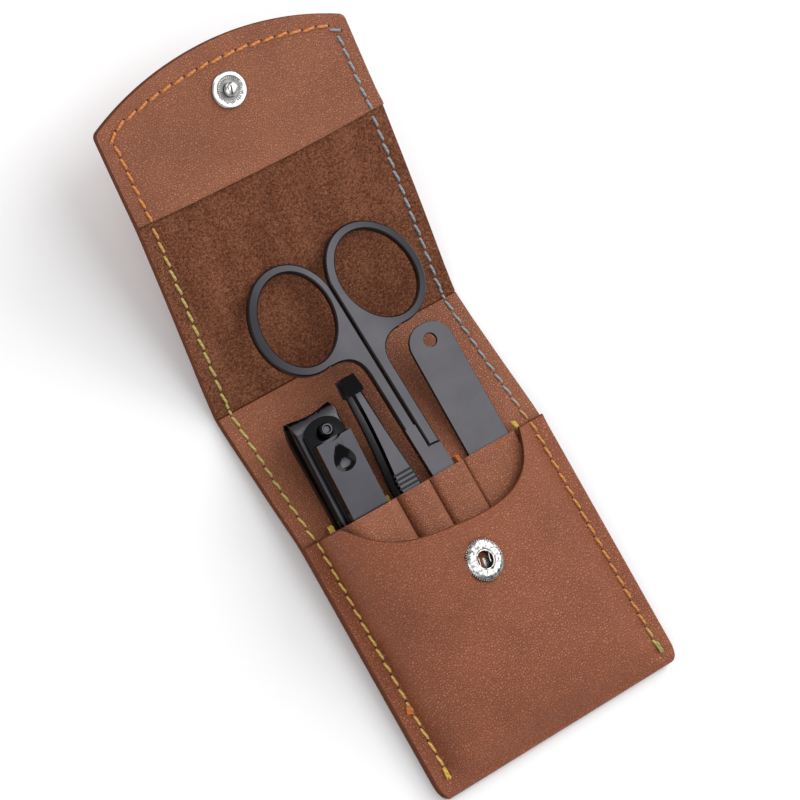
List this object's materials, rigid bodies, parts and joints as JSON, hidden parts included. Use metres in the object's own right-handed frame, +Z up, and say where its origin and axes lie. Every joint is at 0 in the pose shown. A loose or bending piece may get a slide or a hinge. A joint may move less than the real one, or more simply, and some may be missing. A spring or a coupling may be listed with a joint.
{
  "type": "manicure set case",
  "caption": "Tan leather manicure case lying open: stitched pocket with tool loops holding a nail clipper, tweezers, scissors and nail file, and a suede-lined flap with a snap.",
  "frame": {"origin": "bottom centre of the open case's bounding box, on the table", "axes": "+X across the case towards the nail file, +Y from the bottom fold to the flap's tip, +Z up"},
  "size_m": [0.07, 0.1798, 0.0338],
  "materials": {
    "tan_leather": "fine pebbled grain, matt",
    "lining_leather": "fine grain, matt",
    "brown_suede": "suede nap",
    "nickel": "bright nickel plate",
    "gloss_black_steel": "gloss black",
    "satin_black_steel": "satin black"
  },
  "bodies": {
    "case": {"outer_leather_body": "tan_leather", "inner_panel": "lining_leather", "tool_loops": "lining_leather", "snap_socket": "nickel", "snap_eyelet": "nickel"},
    "flap_panel": {"flap_panel_leather": "tan_leather", "flap_panel_suede": "brown_suede", "crease_leather": "tan_leather", "crease_suede": "brown_suede", "fold_leather": "tan_leather", "fold_suede": "brown_suede"},
    "flap_tip": {"flap_tip_leather": "tan_leather", "flap_tip_suede": "brown_suede", "flap_facing": "lining_leather", "snap_stud": "nickel", "stud_rivet": "nickel"},
    "clipper": {"clipper_lower_jaw": "gloss_black_steel", "clipper_rivet": "gloss_black_steel", "clipper_pin": "gloss_black_steel"},
    "clipper_jaw": {"clipper_upper_jaw": "gloss_black_steel"},
    "clipper_thumb_lever": {"clipper_lever": "satin_black_steel"},
    "tweezers": {"tweezers_lower_arm": "satin_black_steel"},
    "tweezers_arm": {"tweezers_upper_arm": "satin_black_steel"},
    "scissors": {"scissors_left_half": "satin_black_steel", "scissors_screw": "satin_black_steel"},
    "scissors_loose_half": {"scissors_right_half": "satin_black_steel"},
    "file": {"nail_file": "satin_black_steel"}
  },
  "joints": [
    {"name": "flap_crease", "type": "hinge", "parent": "case", "child": "flap_panel", "pos_m": [0, 0.01362, 0.0006], "axis": [-1, 0, 0], "range_deg": [0, 22], "deforming": ["crease_leather", "crease_suede"]},
    {"name": "flap_fold", "type": "hinge", "parent": "flap_panel", "child": "flap_tip", "pos_m": [0, 0.03609, 0.01688], "axis": [-1, 0, 0], "range_deg": [-155, 2], "deforming": ["fold_leather", "fold_suede"]},
    {"name": "clipper_slide", "type": "slide", "parent": "case", "child": "clipper", "axis": [0, 0.9968, 0.0802], "range_m": [-0.006, 0.0055]},
    {"name": "clipper_squeeze", "type": "hinge", "parent": "clipper", "child": "clipper_jaw", "pos_m": [-0.0192, -0.0434, 0.00913], "axis": [1, 0, 0], "range_deg": [-2.1, 0]},
    {"name": "clipper_lever_press", "type": "hinge", "parent": "clipper_jaw", "child": "clipper_thumb_lever", "pos_m": [-0.0192, -0.00283, 0.01861], "axis": [-1, 0, 0], "range_deg": [0, 1.8]},
    {"name": "tweezers_slide", "type": "slide", "parent": "case", "child": "tweezers", "axis": [0, 0.9968, 0.0802], "range_m": [-0.007, 0.0015]},
    {"name": "tweezers_squeeze", "type": "hinge", "parent": "tweezers", "child": "tweezers_arm", "pos_m": [-0.006, -0.06814, 0.00493], "axis": [1, 0, 0], "range_deg": [-1.5, 0]},
    {"name": "scissors_slide", "type": "slide", "parent": "case", "child": "scissors", "axis": [0, 0.9968, 0.0802], "range_m": [-0.005, 0]},
    {"name": "scissors_open", "type": "hinge", "parent": "scissors", "child": "scissors_loose_half", "pos_m": [0.0047, -0.03031, 0.00848], "axis": [0, 0.0802, -0.9968], "range_deg": [0, 12]},
    {"name": "file_slide", "type": "slide", "parent": "case", "child": "file", "axis": [0, 0.9968, 0.0802], "range_m": [-0.006, 0.025]}
  ]
}
